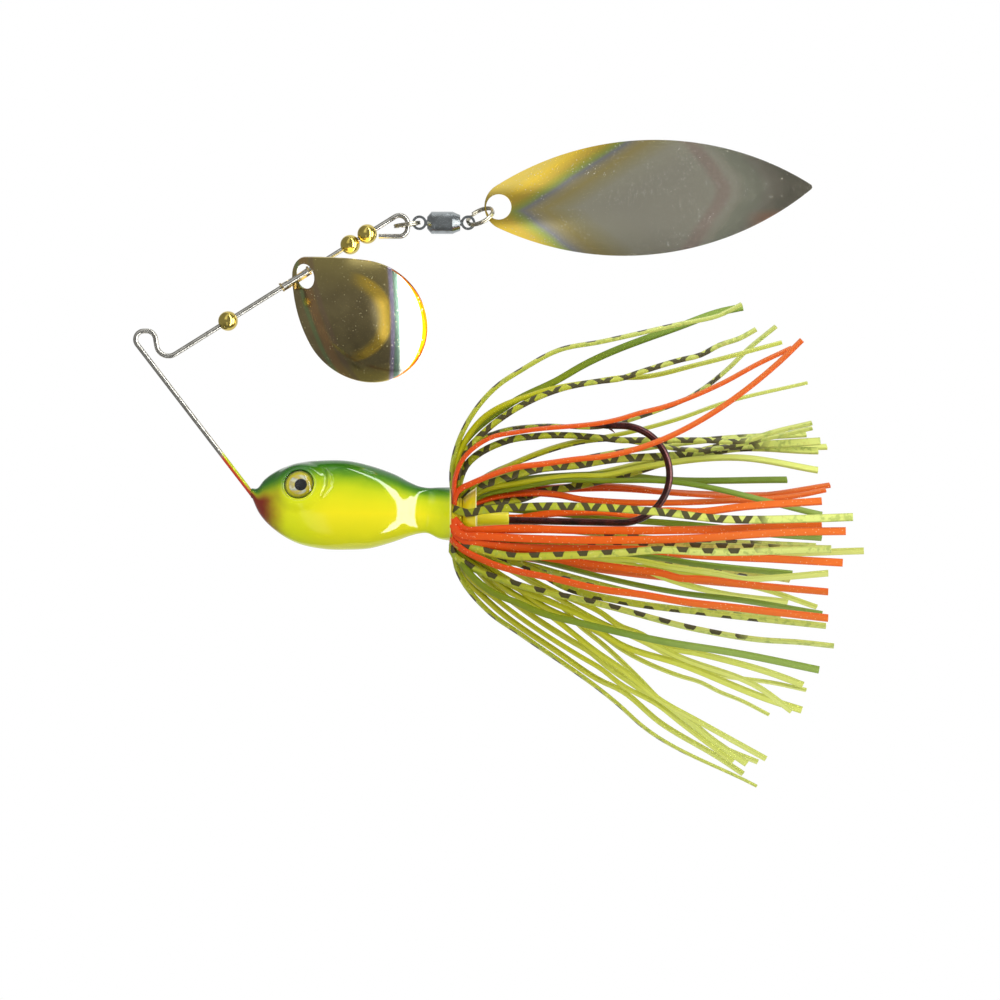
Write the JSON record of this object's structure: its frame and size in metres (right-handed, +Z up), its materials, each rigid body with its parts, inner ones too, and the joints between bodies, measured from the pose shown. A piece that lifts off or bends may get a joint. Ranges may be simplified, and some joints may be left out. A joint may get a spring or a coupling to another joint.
{
  "type": "spinnerbait",
  "caption": "Tandem-blade spinnerbait: bent wire frame with a painted minnow head, cast-in hook, silicone skirt, round blade on a clevis and a long blade on a ball-bearing swivel",
  "frame": {"origin": "centre of the open bend in the wire that the line ties to, on the lure's median plane", "axes": "+X back along the lure towards the skirt's tips, +Z up towards the blade arm, +Y to the lure's right; the wire frame and hook lie in Y = 0"},
  "size_m": [0.12, 0.0608, 0.1077],
  "materials": {
    "head_paint": "glossy clear coat over green, chartreuse and yellow paint on cast lead, red-brown at the nose",
    "wire_steel": "bright drawn stainless spring wire",
    "hook_finish": "black-bronze plated hook wire",
    "eye_foil": "silver foil iris with a gold edge and a black pupil",
    "eye_clear": "clear resin dome",
    "band_rubber": "moulded rubber skirt band",
    "strand_tiger": "chartreuse silicone with dark slanted bars",
    "strand_orange": "orange silicone with fine glitter",
    "strand_chartreuse": "translucent chartreuse silicone",
    "strand_green": "translucent green silicone",
    "bead_brass": "polished gold-coloured brass beads",
    "clevis_brass": "folded strap, nickel over brass",
    "blade_gold": "mirror-polished gold plating",
    "blade_nickel": "mirror-polished pale gold and nickel plating",
    "ring_steel": "flattened stainless split-ring wire",
    "swivel_nickel": "nickel-plated turned brass",
    "ball_steel": "polished bearing steel"
  },
  "bodies": {
    "lure": {"head_casting": "head_paint", "hook": "hook_finish", "wire_frame": "wire_steel", "eye_left_disc": "eye_foil", "eye_left_dome": "eye_clear", "eye_right_disc": "eye_foil", "eye_right_dome": "eye_clear", "skirt_band": "band_rubber", "skirt_tiger_strands": "strand_tiger", "skirt_orange_strands": "strand_orange", "skirt_chartreuse_strands": "strand_chartreuse", "skirt_green_strands": "strand_green"},
    "lower_bead": {"bead_lower": "bead_brass"},
    "middle_bead": {"bead_middle": "bead_brass"},
    "upper_bead": {"bead_upper": "bead_brass"},
    "clevis": {"clevis": "clevis_brass"},
    "round_blade": {"colorado_blade": "blade_gold"},
    "wire_ring": {"wire_split_ring": "ring_steel"},
    "wire_stud": {"swivel_wire_stud": "swivel_nickel"},
    "wire_balls": {"swivel_wire_balls": "ball_steel"},
    "barrel": {"swivel_barrel": "swivel_nickel"},
    "blade_balls": {"swivel_blade_balls": "ball_steel"},
    "blade_stud": {"swivel_blade_stud": "swivel_nickel"},
    "blade_ring": {"blade_split_ring": "ring_steel"},
    "long_blade": {"willow_blade": "blade_nickel"}
  },
  "joints": [
    {"name": "lower_bead_slide", "type": "slide", "parent": "lure", "child": "lower_bead", "axis": [0.848, 0, 0.5299], "range_m": [-0.0088, 0.0085]},
    {"name": "middle_bead_slide", "type": "slide", "parent": "lure", "child": "middle_bead", "axis": [0.848, 0, 0.5299], "range_m": [-0.0042, 0]},
    {"name": "upper_bead_slide", "type": "slide", "parent": "lure", "child": "upper_bead", "axis": [0.848, 0, 0.5299], "range_m": [-0.0042, 0]},
    {"name": "clevis_spin", "type": "hinge", "parent": "lure", "child": "clevis", "pos_m": [0.02484, 0, 0.00994], "axis": [0.848, 0, 0.5299], "continuous": true},
    {"name": "round_blade_swing", "type": "hinge", "parent": "clevis", "child": "round_blade", "pos_m": [0.02446, 0.001, 0.0097], "axis": [0.5299, 0, -0.848], "range_deg": [0, 65]},
    {"name": "wire_ring_swing", "type": "hinge", "parent": "lure", "child": "wire_ring", "pos_m": [0.04346, 0, 0.01899], "axis": [0, 0, 1], "range_deg": [-60, 60]},
    {"name": "swivel_pitch", "type": "hinge", "parent": "wire_ring", "child": "wire_stud", "pos_m": [0.04549, 0, 0.01928], "axis": [0, -1, 0], "range_deg": [-6, 80]},
    {"name": "barrel_spin", "type": "hinge", "parent": "wire_stud", "child": "barrel", "pos_m": [0.04549, 0, 0.01928], "axis": [1, 0, 0], "continuous": true},
    {"name": "wire_balls_roll", "type": "hinge", "parent": "wire_stud", "child": "wire_balls", "pos_m": [0.04549, 0, 0.01928], "axis": [1, 0, 0], "continuous": true},
    {"name": "blade_stud_spin", "type": "hinge", "parent": "barrel", "child": "blade_stud", "pos_m": [0.05361, 0, 0.01928], "axis": [1, 0, 0], "continuous": true},
    {"name": "blade_balls_roll", "type": "hinge", "parent": "barrel", "child": "blade_balls", "pos_m": [0.05361, 0, 0.01928], "axis": [1, 0, 0], "continuous": true},
    {"name": "blade_ring_swing", "type": "hinge", "parent": "blade_stud", "child": "blade_ring", "pos_m": [0.05361, 0, 0.01928], "axis": [0.2103, -0.891, -0.4023], "range_deg": [-8, 60]},
    {"name": "long_blade_swing", "type": "hinge", "parent": "blade_ring", "child": "long_blade", "pos_m": [0.05769, 0, 0.02141], "axis": [0.2103, -0.891, -0.4023], "range_deg": [-8, 60]}
  ],
  "couplings": [
    {"joint": "upper_bead_slide", "follows": "middle_bead_slide", "ratio": 1},
    {"joint": "wire_balls_roll", "follows": "barrel_spin", "ratio": 0.5},
    {"joint": "blade_balls_roll", "follows": "blade_stud_spin", "ratio": 0.5}
  ]
}
